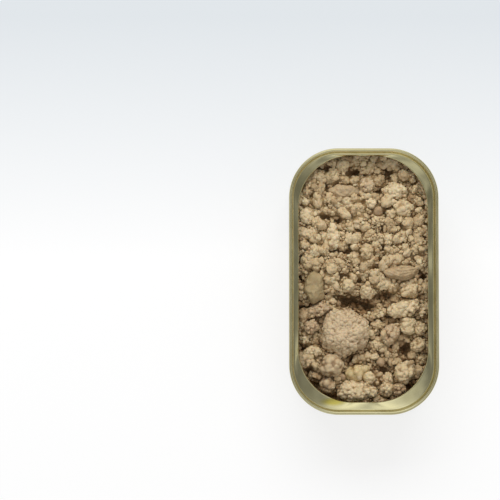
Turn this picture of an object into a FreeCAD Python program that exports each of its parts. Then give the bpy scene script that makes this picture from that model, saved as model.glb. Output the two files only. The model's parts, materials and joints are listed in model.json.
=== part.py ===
import FreeCAD, Part
import math
import os
import random

# An opened oblong can of fish crumbs, lying on its base with its mouth up.
#
# The can is a two-piece pack: a drawn cup and an easy-open end that is folded to the cup's flange
# in a double seam. The panel of the end has been torn out along its score, so that only the seam,
# the chuck wall and a dished ledge with a bevelled torn edge are left. The food is a bed of crumbs
# with hollows in it, and the larger lumps and flakes are pieces of their own, each in its own well.
#
# Frame: millimetres, +Z up, +Y along the can. The origin is the middle of the underside.

Vector = FreeCAD.Vector
UP = Vector(0, 0, 1)

# ---- driving dimensions ------------------------------------------------------------------------

can_length = 105.0          # over the seam
can_width = 59.0            # over the seam
can_height = 28.5           # table to the top of the seam
seam_corner_radius = 19.5   # outside of the seam, in plan

end_sheet = 0.25            # thickness of the end's metal
body_sheet = 0.22           # thickness of the cup's metal
seam_height = 2.9
seam_gap = 0.05             # between the folded layers of the seam
seam_bend = 0.24            # centreline radius of the two hooks' bends
hook_end_gap = 0.08         # from the free end of a hook to the bend that it points at

chuck_depth = 4.0           # top of the seam to where the chuck wall meets the ledge
chuck_taper = 0.35          # how far the chuck wall leans in below the seam
chuck_bend = 2.0            # where the chuck wall leaves the body wall
ledge_bend = 1.2            # from the chuck wall into the ledge
ledge_slope = 12.0          # degrees down towards the opening
ledge_reach = 6.5           # ledge before the panel is torn out, in plan

opening_side_margin = 3.85  # outside of the seam to the torn edge, at the long sides
opening_end_margin = 3.6    # the same at the short ends, before the shift
opening_shift = 1.1         # the score lies nearer to the +Y end
opening_end_flat = 9.3      # straight part of the torn edge at each short end
score_draft = 30.0          # degrees off the vertical of the torn edge's bevel

base_bend = 3.0             # outside radius between the base and the walls
panel_margin = 7.5          # outside of the cup to the recess in its base
panel_rise = 0.8
panel_bend = 0.5

food_gap = 0.2              # crumbs to the cup and to the ledge above them
well_gap = 0.2              # a lump to the wall of its well
full_level = 8.2            # top of the seam down to the packed food in the full part, towards +Y
deep_level = 11.6           # the same where the food sits deeper, towards -Y
crumb_count = 190
crumb_radius = (1.2, 2.4)
crumb_rise = (0.5, 1.3)
crumb_seed = 11

# The food's places are given on a layout of this size, which is stretched to fit the cup.
layout_width = 56.4
layout_length = 102.4
step_y = -5.5               # where the full part ends
step_run = 2.2
grid_step = 1.5             # spacing of the points of the bed's surface

# ---- places that follow from them --------------------------------------------------------------

half_length = can_length / 2
half_width = can_width / 2

# The layers of the double seam, from its outside inwards, as distances of each layer's middle.
seaming_wall_in = end_sheet / 2
layer_step = (end_sheet + body_sheet) / 2 + seam_gap
body_hook_in = seaming_wall_in + layer_step
cover_hook_in = body_hook_in + layer_step
body_wall_in = cover_hook_in + layer_step
chuck_wall_in = body_wall_in + layer_step

seam_top = can_height - end_sheet / 2
seam_low = can_height - seam_height + end_sheet / 2
body_hook_top = seam_top - layer_step
end_top_bend = seam_bend + layer_step
ledge_start = can_height - chuck_depth
wall_top = can_height - seam_height

cup_inset = body_wall_in - body_sheet / 2
cup_half_width = half_width - cup_inset
cup_half_length = half_length - cup_inset
cup_corner_radius = seam_corner_radius - cup_inset

ledge_in = chuck_wall_in + chuck_taper
ledge_drop = ledge_reach * math.tan(math.radians(ledge_slope))
ledge_underside = ledge_start - ledge_drop - end_sheet / 2

food_inset = body_sheet + food_gap
stretch_x = 2 * (cup_half_width - food_inset) / layout_width
stretch_y = 2 * (cup_half_length - food_inset) / layout_length


# ---- outlines and sections ---------------------------------------------------------------------

def corner_centre(quarter, across, along, radius):
    """Centre of one of the four round corners, counted anticlockwise from +X +Y."""
    side_x = (1, -1, -1, 1)[quarter % 4]
    side_y = (1, 1, -1, -1)[quarter % 4]
    return Vector(side_x * (across - radius), side_y * (along - radius), 0)


def polar(radius, degrees):
    angle = math.radians(degrees)
    return Vector(radius * math.cos(angle), radius * math.sin(angle), 0)


def outline(across, along, radius, height):
    """A rectangle with round corners, as a closed wire. across and along are half sizes."""
    edges = []
    for quarter in range(4):
        lift = Vector(0, 0, height)
        centre = corner_centre(quarter, across, along, radius) + lift
        following = corner_centre(quarter + 1, across, along, radius) + lift
        start = 90.0 * quarter
        end_point = centre + polar(radius, start + 90)
        arc = Part.Arc(centre + polar(radius, start), centre + polar(radius, start + 45), end_point)
        edges.append(arc.toShape())
        edges.append(Part.makeLine(end_point, following + polar(radius, start + 90)))
    return Part.Wire(edges)


def block(across, along, radius, low, high):
    return Part.Face(outline(across, along, radius, low)).extrude(Vector(0, 0, high - low))


def unit(vector):
    return vector * (1.0 / vector.Length)


def sheet_section(corners, bends, thickness):
    """Section of a bent sheet. corners are (distance in, height) pairs along its middle."""
    points = [Vector(seam_corner_radius - inwards, 0, height) for inwards, height in corners]
    runs = [unit(after - before) for before, after in zip(points, points[1:])]

    def side(offset):
        normals = [Vector(-run.z, 0, run.x) * offset for run in runs]
        chain = []
        last = points[0] + normals[0]
        for index, bend in enumerate(bends):
            corner = points[index + 1]
            arriving, leaving = runs[index], runs[index + 1]
            turn = math.atan2(arriving.x * leaving.z - arriving.z * leaving.x, arriving.dot(leaving))
            left = math.copysign(1.0, turn)
            trim = bend * math.tan(abs(turn) / 2)
            tangent = corner - arriving * trim
            centre = tangent + Vector(-arriving.z, 0, arriving.x) * (left * bend)
            middle = centre + unit(corner - centre) * (bend - left * offset)
            first = tangent + normals[index]
            final = corner + leaving * trim + normals[index + 1]
            chain.append(Part.makeLine(last, first))
            chain.append(Part.Arc(first, middle, final).toShape())
            last = final
        finish = points[-1] + normals[-1]
        chain.append(Part.makeLine(last, finish))
        return chain, points[0] + normals[0], finish

    near, near_start, near_end = side(thickness / 2)
    far, far_start, far_end = side(-thickness / 2)
    caps = [Part.makeLine(near_end, far_end), Part.makeLine(far_start, near_start)]
    return Part.Face(Part.Wire(Part.__sortEdges__(near + far + caps)))


def sweep_around(section):
    """Takes a section round the can: a quarter turn at each corner and a straight run to the next."""
    pieces = []
    for quarter in range(4):
        centre = corner_centre(quarter, half_width, half_length, seam_corner_radius)
        following = corner_centre(quarter + 1, half_width, half_length, seam_corner_radius)
        at_start = section.copy()
        at_start.rotate(Vector(0, 0, 0), UP, 90.0 * quarter)
        at_start.translate(centre)
        pieces.append(at_start.revolve(centre, UP, 90.0))
        at_end = section.copy()
        at_end.rotate(Vector(0, 0, 0), UP, 90.0 * (quarter + 1))
        at_end.translate(centre)
        pieces.append(at_end.extrude(following - centre))
    return pieces[0].multiFuse(pieces[1:]).removeSplitter()


# ---- the drawn cup -----------------------------------------------------------------------------

def level_edges(shape, height):
    return [edge for edge in shape.Edges
            if abs(edge.BoundBox.ZMin - height) < 1e-4 and abs(edge.BoundBox.ZMax - height) < 1e-4]


def cup_form(inset, top):
    """The outside of the cup moved inwards: round bottom edge and a recessed panel in the base."""
    tub = block(cup_half_width - inset, cup_half_length - inset, cup_corner_radius - inset, inset, top)
    tub = tub.makeFillet(base_bend - inset, level_edges(tub, inset))
    margin = panel_margin - inset
    high = panel_rise + inset
    recess = block(cup_half_width - margin, cup_half_length - margin, cup_corner_radius - margin, -1, high)
    recess = recess.makeFillet(panel_bend + inset, level_edges(recess, high))
    return tub.cut(recess)


def can_body():
    """The cup with its flange folded out and down into the body hook."""
    walls = cup_form(0, wall_top).cut(cup_form(body_sheet, wall_top + 1))
    body_hook_end = seam_low + seam_bend + hook_end_gap
    corners = [(body_wall_in, wall_top),
               (body_wall_in, body_hook_top),
               (body_hook_in, body_hook_top),
               (body_hook_in, body_hook_end)]
    flange = sweep_around(sheet_section(corners, [seam_bend, seam_bend], body_sheet))
    return walls.fuse(flange).removeSplitter()


# ---- the easy-open end after its panel is torn out ---------------------------------------------

def opening_outline(height):
    """The torn edge in plan. Its bevel widens it upwards."""
    growth = (height - ledge_start) * math.tan(math.radians(score_draft))
    across = half_width - opening_side_margin + growth
    along = half_length - opening_end_margin + growth
    wire = outline(across, along, across - opening_end_flat / 2, height)
    wire.translate(Vector(0, opening_shift, 0))
    return wire


def end_ring():
    """Cover hook, seaming wall, chuck wall and the ledge that the torn panel leaves."""
    cover_hook_end = body_hook_top - seam_bend - hook_end_gap
    corners = [(cover_hook_in, cover_hook_end),
               (cover_hook_in, seam_low),
               (seaming_wall_in, seam_low),
               (seaming_wall_in, seam_top),
               (chuck_wall_in, seam_top),
               (chuck_wall_in, wall_top),
               (ledge_in, ledge_start),
               (ledge_in + ledge_reach, ledge_start - ledge_drop)]
    bends = [seam_bend, seam_bend, end_top_bend, end_top_bend, chuck_bend, ledge_bend]
    ring = sweep_around(sheet_section(corners, bends, end_sheet))
    below_panel = ledge_underside - 2 * end_sheet
    above_panel = ledge_start + ledge_bend
    panel = Part.makeLoft([opening_outline(below_panel), opening_outline(above_panel)], True)
    return ring.cut(panel)


# ---- the food ----------------------------------------------------------------------------------

# Hollows in the crumbs: middle, half sizes and depth.
hollows = [
    (-4.8, -7.8, 5.6, 2.4, 6.0),     # deep trough under the edge of the full part
    (1.8, -9.8, 3.0, 2.0, 4.0),
    (9.4, -5.4, 5.4, 3.2, 3.6),
    (-0.6, 0.0, 2.6, 1.0, 1.8),
    (24.4, 1.8, 1.6, 2.2, 4.0),
    (-24.6, 1.6, 1.4, 2.6, 3.4),
    (-22.6, -11.0, 3.0, 1.4, 3.0),
    (-24.2, 8.0, 1.8, 1.8, 2.2),
    (-8.2, 11.8, 3.8, 0.9, 2.4),
    (7.7, 13.6, 0.9, 2.2, 2.0),
    (-1.8, 43.6, 4.8, 2.0, 4.4),
    (10.6, 43.2, 2.6, 3.6, 4.4),
    (6.8, 36.2, 2.4, 2.2, 3.2),
    (18.8, 39.2, 2.6, 1.0, 2.6),
    (23.8, 30.8, 1.4, 2.0, 2.8),
    (-15.4, 37.6, 1.8, 2.0, 3.0),
    (-15.0, 45.0, 3.2, 1.2, 3.0),
    (-14.4, 25.6, 3.0, 0.9, 2.4),
    (-9.4, 23.6, 1.6, 2.6, 2.2),
    (-3.6, -31.2, 2.6, 2.2, 2.8),
    (-16.4, -25.8, 2.8, 1.6, 2.4),
    (-24.4, -27.6, 1.8, 2.6, 2.6),
    (17.4, -27.2, 2.4, 3.6, 3.2),
    (10.3, -14.8, 0.9, 1.8, 2.2),
    (9.0, -35.6, 3.4, 2.2, 2.4),
    (20.8, -32.4, 2.0, 2.0, 2.4),
    (-18.6, -42.0, 3.8, 3.6, 3.8),
    (-12.6, -46.0, 4.4, 1.8, 3.6),
    (-22.0, -36.2, 2.2, 1.4, 2.4),
    (18.4, -42.4, 3.0, 2.4, 3.6),
    (9.6, -46.4, 2.8, 1.2, 2.6),
]

# Clumps of crumbs that stick together: middle, length, breadth, turn of the length from +X, rise.
clumps = [
    (-19.3, 38.2, 7.4, 5.8, -15, 2.3), (-17.0, 43.2, 5.0, 4.0, 30, 1.8), (-12.3, 42.3, 5.4, 4.4, 0, 1.9),
    (-7.8, 41.5, 5.4, 5.0, 80, 2.1), (-7.5, 46.8, 5.0, 3.0, 0, 1.5), (-3.4, 40.8, 4.6, 3.0, 0, 1.8),
    (-11.3, 32.0, 7.4, 4.8, -10, 2.3), (-17.8, 32.4, 5.4, 5.0, 0, 2.0), (-22.8, 32.4, 4.8, 3.8, 0, 1.8),
    (-22.6, 36.4, 4.4, 3.4, 20, 1.8), (-16.4, 28.6, 4.6, 3.4, 0, 1.3), (-12.4, 28.4, 4.6, 4.2, 0, 1.9),
    (-7.2, 27.8, 6.2, 5.6, 80, 2.3), (-1.5, 28.6, 5.4, 5.4, 0, 2.2), (-3.0, 32.8, 6.4, 3.6, 0, 1.9),
    (-17.2, 22.2, 5.6, 5.0, 0, 1.9), (-5.8, 22.2, 6.0, 5.4, 0, 2.3), (-1.4, 23.6, 5.0, 5.4, 0, 2.1),
    (-21.6, 20.0, 5.0, 4.0, 0, 1.8), (4.2, 45.2, 5.0, 3.4, 0, 1.2), (2.3, 34.2, 4.6, 3.0, 0, 1.9),
    (6.3, 28.2, 4.4, 4.2, 0, 2.1), (9.0, 32.0, 5.0, 4.0, 0, 2.0), (6.4, 24.2, 7.0, 4.0, 0, 2.2),
    (2.2, 20.8, 4.6, 3.6, 0, 1.9), (10.7, 22.0, 5.4, 4.4, 90, 2.2), (14.4, 24.4, 5.4, 4.0, 0, 2.0),
    (18.0, 23.2, 4.6, 4.8, 0, 2.0), (11.8, 27.4, 4.4, 3.6, 90, 1.8), (21.9, 32.2, 4.0, 4.0, 0, 1.9),
    (22.4, 27.8, 4.0, 3.2, 0, 1.9), (22.6, 24.2, 5.0, 3.0, 15, 1.8), (20.8, 36.8, 4.2, 4.4, 0, 2.0),
    (17.4, 42.4, 7.0, 4.0, -20, 2.0), (12.6, 41.4, 4.0, 3.0, 0, 1.5), (23.2, 20.4, 4.2, 4.4, 90, 1.9),
    (17.6, 19.4, 5.0, 4.2, 0, 2.0), (3.4, 30.8, 4.0, 3.6, 0, 1.8), (-24.0, 14.8, 3.4, 8.0, 0, 1.9),
    (-18.0, 17.2, 5.0, 4.8, 70, 2.2), (-5.2, 17.4, 7.0, 4.8, 0, 2.2), (-17.8, 12.4, 7.4, 4.6, 0, 2.0),
    (-21.8, 11.6, 4.0, 4.6, 0, 1.8), (-8.0, 14.6, 6.0, 3.2, 0, 1.9), (-2.4, 13.6, 5.0, 4.0, 0, 2.0),
    (-21.2, 7.2, 5.8, 5.4, 0, 2.3), (-17.0, 7.6, 5.0, 5.0, 0, 2.0), (-12.1, 6.2, 5.2, 5.4, 0, 2.1),
    (-8.2, 6.2, 5.0, 6.0, 0, 2.1), (-8.0, 10.0, 6.0, 3.2, 0, 1.9), (-3.4, 9.8, 6.2, 3.6, 0, 1.9),
    (-2.6, 6.2, 5.0, 4.0, 0, 1.9), (-12.3, 1.2, 4.6, 4.6, 0, 2.1), (-6.4, -1.4, 8.4, 4.4, 0, 2.0),
    (-12.4, -2.8, 5.0, 4.4, 0, 1.9), (-3.4, 2.8, 4.6, 3.6, 0, 1.8), (3.4, 17.8, 5.6, 4.6, 0, 2.1),
    (9.2, 17.2, 5.6, 4.8, 0, 2.1), (13.8, 17.4, 5.4, 5.0, 0, 2.2), (19.6, 16.4, 5.0, 4.6, 0, 2.0),
    (23.0, 13.6, 4.4, 6.0, 0, 1.9), (5.4, 13.4, 4.2, 5.0, 0, 2.0), (1.4, 13.0, 4.4, 4.0, 0, 1.9),
    (10.8, 12.4, 5.6, 4.6, 0, 2.1), (16.2, 12.4, 5.4, 5.6, 0, 2.1), (20.2, 12.2, 3.8, 5.0, 0, 1.9),
    (4.2, 8.4, 5.0, 5.0, 0, 2.1), (9.6, 8.2, 5.2, 4.4, 0, 2.1), (13.6, 8.0, 4.6, 3.8, 0, 1.9),
    (22.8, 7.6, 5.0, 5.6, 0, 2.0), (18.0, 8.0, 4.6, 3.0, 0, 1.7), (5.6, 3.2, 5.4, 5.0, 0, 2.2),
    (0.8, 4.2, 4.8, 4.0, 0, 1.9), (7.4, -1.4, 4.8, 4.0, 0, 2.4), (-11.2, -8.6, 5.0, 4.4, 60, 3.2),
    (-24.4, -4.4, 3.0, 6.0, 0, 1.8), (-24.0, -13.4, 3.6, 3.8, 0, 2.0), (-24.4, -17.4, 3.4, 3.6, 0, 2.2),
    (-23.2, -22.4, 5.0, 4.4, 0, 1.8), (-18.6, -27.6, 5.2, 5.4, 0, 2.8), (-22.6, -31.4, 5.2, 5.0, 0, 2.2),
    (-18.4, -33.6, 5.4, 3.0, -20, 2.4), (-18.2, -38.0, 5.2, 4.4, 0, 1.8), (3.4, -14.2, 4.0, 3.8, 0, 2.0),
    (6.8, -12.4, 5.0, 5.2, 0, 2.8), (6.6, -17.4, 4.6, 3.8, 0, 2.2), (4.0, -20.4, 4.6, 4.6, 0, 1.9),
    (-1.0, -31.0, 4.4, 5.0, 0, 2.0), (23.8, -12.4, 3.4, 5.0, 0, 2.6), (22.8, -17.4, 5.2, 4.6, -45, 2.8),
    (17.4, -22.6, 5.4, 4.6, 0, 2.2), (22.4, -21.0, 4.6, 2.8, 0, 2.0), (6.0, -25.6, 6.4, 5.6, 0, 1.5),
    (12.0, -28.0, 5.6, 4.8, 0, 1.5), (4.2, -30.0, 5.0, 4.4, 0, 1.5), (22.0, -30.6, 5.0, 4.4, 0, 1.7),
    (7.4, -32.2, 4.2, 4.2, 0, 2.2), (13.0, -32.4, 5.0, 4.4, 0, 1.4), (10.0, -39.0, 4.8, 3.4, 0, 2.2),
    (6.4, -37.6, 4.0, 3.4, 0, 1.5), (23.0, -35.4, 4.0, 4.6, 0, 1.8), (1.8, -47.2, 4.4, 2.6, 0, 2.2),
    (-8.4, -38.6, 5.0, 2.8, 0, 2.2),
]

# Lumps and flakes: middle, length, breadth, turn of the length from +X, the depths of foot and
# top below the seam's top, raggedness.
lumps = {
    "lump_main": (-7.0, -20.3, 19.6, 18.2, 80, 16.5, 4.5, 0.050),
    "lump_arm": (-17.2, -11.2, 10.0, 4.6, 18, 15.5, 6.2, 0.055),
    "lump_left": (-20.5, -18.0, 6.2, 5.0, 10, 16.0, 7.2, 0.060),
    "lump_smooth": (-19.0, -2.3, 12.8, 8.2, 88, 14.0, 5.3, 0.030),
    "lump_round": (-12.3, -33.6, 9.8, 8.2, 5, 17.0, 6.3, 0.030),
    "lump_yellow": (-1.5, -36.5, 9.6, 5.4, -6, 17.0, 7.5, 0.045),
    "lump_chunk": (-13.8, -41.4, 4.8, 5.2, 0, 17.0, 7.9, 0.050),
    "lump_end": (-2.2, -43.5, 16.4, 7.2, 0, 17.0, 6.7, 0.050),
    "lump_tan": (9.6, -43.2, 5.2, 5.0, 0, 17.0, 7.7, 0.055),
    "lump_corner_low": (14.8, -43.2, 4.6, 4.4, 15, 17.0, 7.3, 0.050),
    "lump_corner_high": (16.8, -36.1, 8.8, 7.4, 60, 17.0, 6.3, 0.055),
    "lump_bank": (22.3, -25.4, 5.4, 5.2, 0, 16.5, 7.4, 0.060),
    "lump_mid": (11.4, -20.9, 8.2, 6.2, 65, 16.0, 6.5, 0.060),
    "lump_ridge": (18.0, -17.0, 6.4, 5.8, 0, 16.0, 6.7, 0.060),
    "lump_side": (16.6, -10.9, 13.2, 6.0, 16, 15.5, 6.0, 0.060),
    "lump_wall": (19.3, -3.2, 10.2, 6.2, 4, 15.0, 6.8, 0.050),
    "lump_hang": (2.0, -4.0, 5.4, 4.8, 80, 14.5, 6.3, 0.060),
    "flake_fibrous": (15.5, 3.6, 14.8, 5.8, 6, 12.5, 5.1, 0.030),
    "lump_long": (-12.0, 17.6, 10.8, 5.2, 85, 12.5, 5.7, 0.050),
    "lump_fan": (-22.2, 26.4, 7.0, 5.6, 70, 12.5, 5.9, 0.060),
    "lump_upper": (16.3, 29.2, 8.0, 5.6, -12, 12.5, 5.7, 0.045),
    "flake_oval": (-7.7, 35.9, 12.4, 5.2, 0, 12.5, 5.5, 0.025),
    "lump_top": (1.9, 38.6, 5.8, 5.4, 35, 12.5, 5.5, 0.060),
    "lump_top_right": (13.4, 36.1, 10.2, 6.4, -5, 13.0, 5.6, 0.045),
}

# How wide a lump is at each share of its height, from its foot up.
lump_profile = ((0.0, 1.0), (0.55, 1.0), (0.74, 0.94), (0.90, 0.74), (1.0, 0.42))
lump_points = 14


def scattered_crumbs():
    """Middles, radii and rises of single crumbs between the clumps."""
    dice = random.Random(crumb_seed)
    crumbs = []
    for _ in range(crumb_count):
        middle_x = dice.uniform(-0.5, 0.5) * layout_width
        middle_y = dice.uniform(-0.5, 0.5) * layout_length
        crumbs.append((middle_x, middle_y, dice.uniform(*crumb_radius), dice.uniform(*crumb_rise)))
    return crumbs


def oval_distance(x, y, middle_x, middle_y, length, breadth, turn):
    """Squared distance from an oval's middle, which is 1 on its outline."""
    angle = math.radians(turn)
    along = (x - middle_x) * math.cos(angle) + (y - middle_y) * math.sin(angle)
    across = (y - middle_y) * math.cos(angle) - (x - middle_x) * math.sin(angle)
    return (2 * along / length) ** 2 + (2 * across / breadth) ** 2


def bed_height(x, y, crumbs):
    """Height of the crumbs on the layout: two levels, the hollows and the highest clump there."""
    share = 1 / (1 + math.exp(-(y - step_y) / step_run))
    height = can_height - deep_level + (deep_level - full_level) * share
    for middle_x, middle_y, reach_x, reach_y, depth in hollows:
        away = ((x - middle_x) / reach_x) ** 2 + ((y - middle_y) / reach_y) ** 2
        height -= depth * math.exp(-away)
    rise = 0.0
    for *oval, clump_top in clumps:
        away = oval_distance(x, y, *oval)
        if away < 1:
            rise = max(rise, clump_top * math.sqrt(1 - away))
    for middle_x, middle_y, radius, crumb_top in crumbs:
        away = ((x - middle_x) ** 2 + (y - middle_y) ** 2) / radius ** 2
        if away < 1:
            rise = max(rise, crumb_top * math.sqrt(1 - away))
    return min(height + rise, ledge_underside - food_gap)


def bed_surface():
    """One smooth surface through the crumbs' heights, a little larger than the can."""
    crumbs = scattered_crumbs()
    columns = math.ceil(layout_width / grid_step) + 1
    rows = math.ceil(layout_length / grid_step) + 1
    grid = []
    for column in range(columns + 1):
        x = (column - columns / 2) * grid_step
        line = []
        for row in range(rows + 1):
            y = (row - rows / 2) * grid_step
            line.append(Vector(x * stretch_x, y * stretch_y, bed_height(x, y, crumbs)))
        grid.append(line)
    surface = Part.BSplineSurface()
    surface.interpolate(grid)
    return surface.toShape()


def lump_outline(name, depth, share, growth):
    """A ragged oval round a lump at one depth. growth moves it out on every side."""
    middle_x, middle_y, length, breadth, turn, foot, top, ragged = lumps[name]
    dice = random.Random(name)
    waves = [(count, dice.uniform(0, 2 * math.pi), dice.uniform(0.5, 1.0)) for count in (2, 3, 5)]
    along = polar(1, turn)
    across = polar(1, turn + 90)
    points = []
    for index in range(lump_points):
        angle = 2 * math.pi * index / lump_points
        swell = 1 + ragged * sum(size * math.sin(count * angle + phase + share * count)
                                 for count, phase, size in waves)
        reach = along * (length * math.cos(angle)) + across * (breadth * math.sin(angle))
        place = Vector(middle_x, middle_y, 0) + reach * (swell * share / 2)
        normal = unit(along * (math.cos(angle) / length) + across * (math.sin(angle) / breadth))
        stretched = Vector(place.x * stretch_x, place.y * stretch_y, can_height - depth)
        points.append(stretched + normal * growth)
    curve = Part.BSplineCurve()
    curve.interpolate(points, PeriodicFlag=True)
    return Part.Wire([curve.toShape()])


def lump(name):
    """A lump: upright from its foot to its waist, then drawn in to a small rough top."""
    foot, top = lumps[name][5:7]
    sections = [lump_outline(name, foot + (top - foot) * share_up, share, 0.0)
                for share_up, share in lump_profile]
    return Part.makeLoft(sections, True, False)


def well(name):
    """What the crumbs leave free for a lump: its widest outline with a gap, from its foot up."""
    foot = lumps[name][5]
    return Part.Face(lump_outline(name, foot, 1.0, well_gap)).extrude(Vector(0, 0, can_height))


def crumb_bed():
    """The food in the cup up to its uneven top, less the wells."""
    food = cup_form(food_inset, can_height)
    air = bed_surface().extrude(Vector(0, 0, 2 * can_height))
    food = food.cut(air)
    return food.cut([well(name) for name in lumps])


# ---- build -------------------------------------------------------------------------------------

def save(name, shape):
    state = "valid" if shape.isValid() else "INVALID"
    print(name, len(shape.Solids), "solid(s)", round(shape.Volume, 1), "mm3", state)
    shape.exportStep("parts/" + name + ".step")


os.makedirs("parts", exist_ok=True)
save("can_body", can_body())
save("end_ring", end_ring())
save("crumb_bed", crumb_bed())
for lump_name in lumps:
    save(lump_name, lump(lump_name))
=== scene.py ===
# %% [markdown]
# # An opened oblong can of fish crumbs
# A shallow gold-lacquered can lies on its base with its lid torn out. What is left of the lid is the
# double seam and a narrow ledge round the opening. Inside is a loose heap of crumbs, with larger
# lumps and flakes lying in it. The heap is what the eye goes to, so most of the work is there.

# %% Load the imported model
import bpy
import bmesh
import json
import math
import random
import numpy as np
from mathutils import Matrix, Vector, noise
from mathutils.bvhtree import BVHTree

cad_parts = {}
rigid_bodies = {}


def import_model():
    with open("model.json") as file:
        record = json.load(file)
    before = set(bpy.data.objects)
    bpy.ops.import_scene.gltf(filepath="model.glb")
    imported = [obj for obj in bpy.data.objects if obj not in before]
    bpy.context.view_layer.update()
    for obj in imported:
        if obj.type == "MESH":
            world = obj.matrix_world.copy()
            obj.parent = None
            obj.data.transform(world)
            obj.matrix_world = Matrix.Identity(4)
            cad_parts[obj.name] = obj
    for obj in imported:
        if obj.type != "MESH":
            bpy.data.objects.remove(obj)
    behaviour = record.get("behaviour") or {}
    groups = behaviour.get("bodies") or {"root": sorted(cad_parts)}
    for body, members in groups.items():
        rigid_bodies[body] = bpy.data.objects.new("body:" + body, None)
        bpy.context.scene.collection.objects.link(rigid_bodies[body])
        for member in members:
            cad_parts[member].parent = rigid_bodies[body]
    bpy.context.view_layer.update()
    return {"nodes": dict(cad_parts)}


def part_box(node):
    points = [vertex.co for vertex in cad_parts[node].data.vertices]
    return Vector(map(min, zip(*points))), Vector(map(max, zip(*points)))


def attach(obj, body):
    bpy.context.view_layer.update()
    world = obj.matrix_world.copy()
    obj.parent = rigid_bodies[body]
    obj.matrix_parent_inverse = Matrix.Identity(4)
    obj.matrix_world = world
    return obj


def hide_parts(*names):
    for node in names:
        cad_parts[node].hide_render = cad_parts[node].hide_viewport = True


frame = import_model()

noise.seed_set(1)             # without it noise_vector would differ from run to run
MM = 0.001
UP = Vector((0, 0, 1))
nodes = frame["nodes"]

# %% [markdown]
# ## Colours and nodes
# A colour is easiest to judge as the hex value that a paint program shows. Blender mixes light in
# linear numbers, so one function turns the one into the other. A second function adds a shader node
# with its settings and its links, which keeps each material as short as a recipe.

# %% Colour and node helpers
def srgb(code, alpha=1.0):
    """A hex colour as the linear numbers that a shader wants."""
    values = [int(code[start:start + 2], 16) / 255 for start in (0, 2, 4)]
    linear = [v / 12.92 if v <= 0.04045 else ((v + 0.055) / 1.055) ** 2.4 for v in values]
    return (*linear, alpha)


def add(tree, kind, settings=None, links=None):
    """Adds a node. settings are its properties or sockets, links are what feeds its sockets."""
    made = tree.nodes.new(kind)
    for key, value in (settings or {}).items():
        if isinstance(key, str) and hasattr(made, key):
            setattr(made, key, value)
        else:
            made.inputs[key].default_value = value
    for key, source in (links or {}).items():
        tree.links.new(source, made.inputs[key])
    return made


def ramp(made, stops):
    """Gives a colour ramp its stops, as (place, hex colour or grey)."""
    points = made.color_ramp.elements
    while len(points) < len(stops):
        points.new(0.5)
    for point, (place, value) in zip(points, stops):
        point.position = place
        point.color = srgb(value) if isinstance(value, str) else (value, value, value, 1)
    return made


def new_material(name):
    material = bpy.data.materials.new(name)
    material.use_nodes = True
    return material, material.node_tree, material.node_tree.nodes["Principled BSDF"]


print("a mid grey is", [round(c, 3) for c in srgb("808080")])

# %% [markdown]
# ## The can's metal
# The can and its lid are thin aluminium with a gold lacquer baked on. The eye sees metal, because the
# clear lacquer lets the metal reflect, but every reflection comes back tinted a pale greenish gold.
# The rolled sheet has faint lines along it, and pressing and seaming leave slow waves that make the
# highlights wander. Both go in as bump, at the sizes that a real sheet has.

# %% Gold-lacquered aluminium
PRESSED_WAVE = 0.06 * MM      # height of the slow waves
ROLLED_LINE = 0.006 * MM      # height of the lines along the rolled sheet


def lacquered_aluminium(name, tint, deep_tint, rough):
    """tint and deep_tint are the lacquer where it is thin and thick. rough is the mean roughness."""
    material, tree, shader = new_material(name)
    place = add(tree, "ShaderNodeTexCoord")
    patches = add(tree, "ShaderNodeTexNoise", {"Scale": 1 / (9 * MM), "Detail": 3.0},
                  {"Vector": place.outputs["Object"]})
    colour = ramp(add(tree, "ShaderNodeValToRGB", {}, {"Fac": patches.outputs["Fac"]}),
                  [(0.35, deep_tint), (0.65, tint)])
    stretched = add(tree, "ShaderNodeMapping", {"Scale": (1.0, 0.04, 1.0)},
                    {"Vector": place.outputs["Object"]})
    rolled = add(tree, "ShaderNodeTexNoise", {"Scale": 1 / (0.25 * MM), "Detail": 2.0},
                 {"Vector": stretched.outputs["Vector"]})
    waves = add(tree, "ShaderNodeTexNoise", {"Scale": 1 / (5 * MM), "Detail": 1.0},
                {"Vector": place.outputs["Object"]})
    slow = add(tree, "ShaderNodeBump", {"Strength": 0.35, "Distance": PRESSED_WAVE},
               {"Height": waves.outputs["Fac"]})
    fine = add(tree, "ShaderNodeBump", {"Strength": 0.25, "Distance": ROLLED_LINE},
               {"Height": rolled.outputs["Fac"], "Normal": slow.outputs["Normal"]})
    dull = add(tree, "ShaderNodeMapRange", {"To Min": rough * 0.8, "To Max": rough * 1.3},
               {"Value": patches.outputs["Fac"]})
    shader.inputs["Metallic"].default_value = 1.0
    tree.links.new(colour.outputs["Color"], shader.inputs["Base Color"])
    tree.links.new(dull.outputs["Result"], shader.inputs["Roughness"])
    tree.links.new(fine.outputs["Normal"], shader.inputs["Normal"])
    return material, tree, shader, colour


gold_cup = lacquered_aluminium("gold_lacquered_aluminium", "DAD3A7", "D3CB9E", 0.24)[0]
gold_end, end_tree, end_shader, end_colour = lacquered_aluminium(
    "gold_lacquered_end_sheet", "DED7AB", "D2CA9C", 0.20)
print("lacquered:", gold_cup.name, gold_end.name)
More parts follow.
